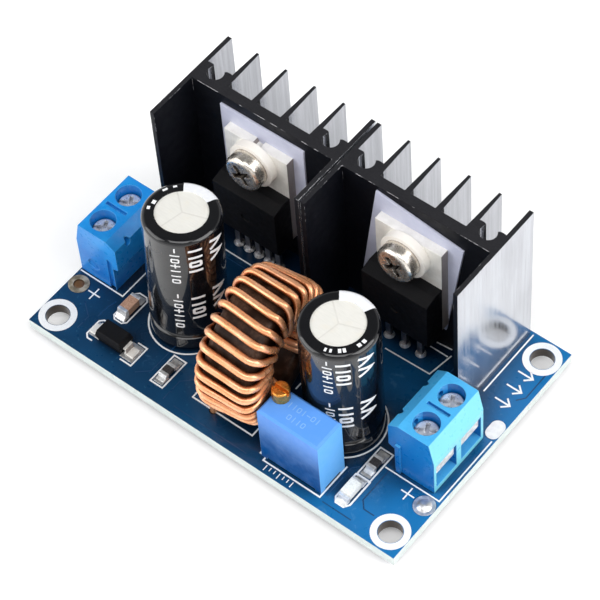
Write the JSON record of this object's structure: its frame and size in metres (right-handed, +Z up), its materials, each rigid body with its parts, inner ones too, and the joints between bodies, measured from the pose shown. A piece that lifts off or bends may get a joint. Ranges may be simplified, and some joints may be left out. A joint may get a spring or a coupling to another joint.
{
  "type": "buck converter module",
  "caption": "Step-down power converter board with finned heatsinks, screw terminals, electrolytic capacitors, a ring inductor and a trimmer.",
  "frame": {"origin": "under the centre of the board, level with the tips of the trimmed leads on which the bare module stands", "axes": "+X along the board from the input terminal to the output terminal, +Y from the trimmer's edge to the heatsinks, +Z up"},
  "size_m": [0.06, 0.0376, 0.0286],
  "materials": {
    "board": "blue solder-masked glass-epoxy board",
    "solder": "tinned",
    "heatsink": "black coated extrusion with bright cut ends",
    "insulating_pad": "pale grey silicone pad",
    "bushing": "white",
    "screw": "nickel-plated",
    "device_plastic": "black moulded epoxy",
    "device_metal": "tinned tab and leads",
    "can": "bare aluminium",
    "sleeve": "black shrink sleeve",
    "bung": "black",
    "core": "dark pressed iron powder",
    "copper": "enamelled copper wire",
    "trimmer": "light blue moulded",
    "potting": "tan potting",
    "brass_screw": "plain brass",
    "terminal": "bright blue moulded",
    "contact": "tin-plated",
    "ceramic": "tan ceramic",
    "chip": "black film on ceramic",
    "led": "milky"
  },
  "bodies": {
    "board": {"circuit_board": "board", "test_pads": "solder", "solder_joints": "solder", "heatsink_input": "heatsink", "heatsink_output": "heatsink", "insulating_pad_input": "insulating_pad", "insulating_pad_output": "insulating_pad", "bushing_input": "bushing", "bushing_output": "bushing", "device_screw_input": "screw", "device_screw_output": "screw", "regulator_body": "device_plastic", "regulator_tab": "device_metal", "regulator_leads": "device_metal", "rectifier_body": "device_plastic", "rectifier_tab": "device_metal", "rectifier_leads": "device_metal", "input_capacitor_can": "can", "input_capacitor_sleeve": "sleeve", "input_capacitor_bung": "bung", "input_capacitor_leads": "device_metal", "output_capacitor_can": "can", "output_capacitor_sleeve": "sleeve", "output_capacitor_bung": "bung", "output_capacitor_leads": "device_metal", "inductor_core": "core", "inductor_winding": "copper", "trimmer_body": "trimmer", "trimmer_base": "potting", "trimmer_pins": "device_metal", "input_terminal_housing": "terminal", "input_terminal_contacts": "contact", "output_terminal_housing": "terminal", "output_terminal_contacts": "contact", "small_diode_body": "device_plastic", "small_diode_tabs": "device_metal", "ceramic_capacitor_body": "ceramic", "ceramic_capacitor_ends": "solder", "chip_resistor_bodies": "chip", "chip_resistor_ends": "solder", "indicator_body": "led", "indicator_ends": "solder"},
    "trimmer_adjuster": {"trimmer_screw": "brass_screw"},
    "input_screw_plus": {"input_screw_plus": "screw"},
    "input_clamp_plus": {"input_clamp_plus": "contact"},
    "input_screw_minus": {"input_screw_minus": "screw"},
    "input_clamp_minus": {"input_clamp_minus": "contact"},
    "output_screw_plus": {"output_screw_plus": "screw"},
    "output_clamp_plus": {"output_clamp_plus": "contact"},
    "output_screw_minus": {"output_screw_minus": "screw"},
    "output_clamp_minus": {"output_clamp_minus": "contact"}
  },
  "joints": [
    {"name": "trimmer_adjust", "type": "hinge", "parent": "board", "child": "trimmer_adjuster", "pos_m": [0.0089, -0.0134, 0.0134], "axis": [0, 0, 1], "continuous": true},
    {"name": "input_screw_plus_turn", "type": "hinge", "parent": "board", "child": "input_screw_plus", "pos_m": [-0.02691, -0.00577, 0.0101], "axis": [0, 0, 1], "range_deg": [0, 1282]},
    {"name": "input_clamp_plus_travel", "type": "slide", "parent": "board", "child": "input_clamp_plus", "axis": [0, 0, -1], "range_m": [0, 0.0016]},
    {"name": "input_screw_minus_turn", "type": "hinge", "parent": "board", "child": "input_screw_minus", "pos_m": [-0.02691, -0.00069, 0.0101], "axis": [0, 0, 1], "range_deg": [0, 1282]},
    {"name": "input_clamp_minus_travel", "type": "slide", "parent": "board", "child": "input_clamp_minus", "axis": [0, 0, -1], "range_m": [0, 0.0016]},
    {"name": "output_screw_plus_turn", "type": "hinge", "parent": "board", "child": "output_screw_plus", "pos_m": [0.02546, -0.00577, 0.0101], "axis": [0, 0, 1], "range_deg": [0, 1282]},
    {"name": "output_clamp_plus_travel", "type": "slide", "parent": "board", "child": "output_clamp_plus", "axis": [0, 0, -1], "range_m": [0, 0.0016]},
    {"name": "output_screw_minus_turn", "type": "hinge", "parent": "board", "child": "output_screw_minus", "pos_m": [0.02546, -0.00069, 0.0101], "axis": [0, 0, 1], "range_deg": [0, 1282]},
    {"name": "output_clamp_minus_travel", "type": "slide", "parent": "board", "child": "output_clamp_minus", "axis": [0, 0, -1], "range_m": [0, 0.0016]}
  ],
  "couplings": [
    {"joint": "input_screw_plus_turn", "follows": "input_clamp_plus_travel", "rad_per_m": 13963},
    {"joint": "input_screw_minus_turn", "follows": "input_clamp_minus_travel", "rad_per_m": 13963},
    {"joint": "output_screw_plus_turn", "follows": "output_clamp_plus_travel", "rad_per_m": 13963},
    {"joint": "output_screw_minus_turn", "follows": "output_clamp_minus_travel", "rad_per_m": 13963}
  ]
}
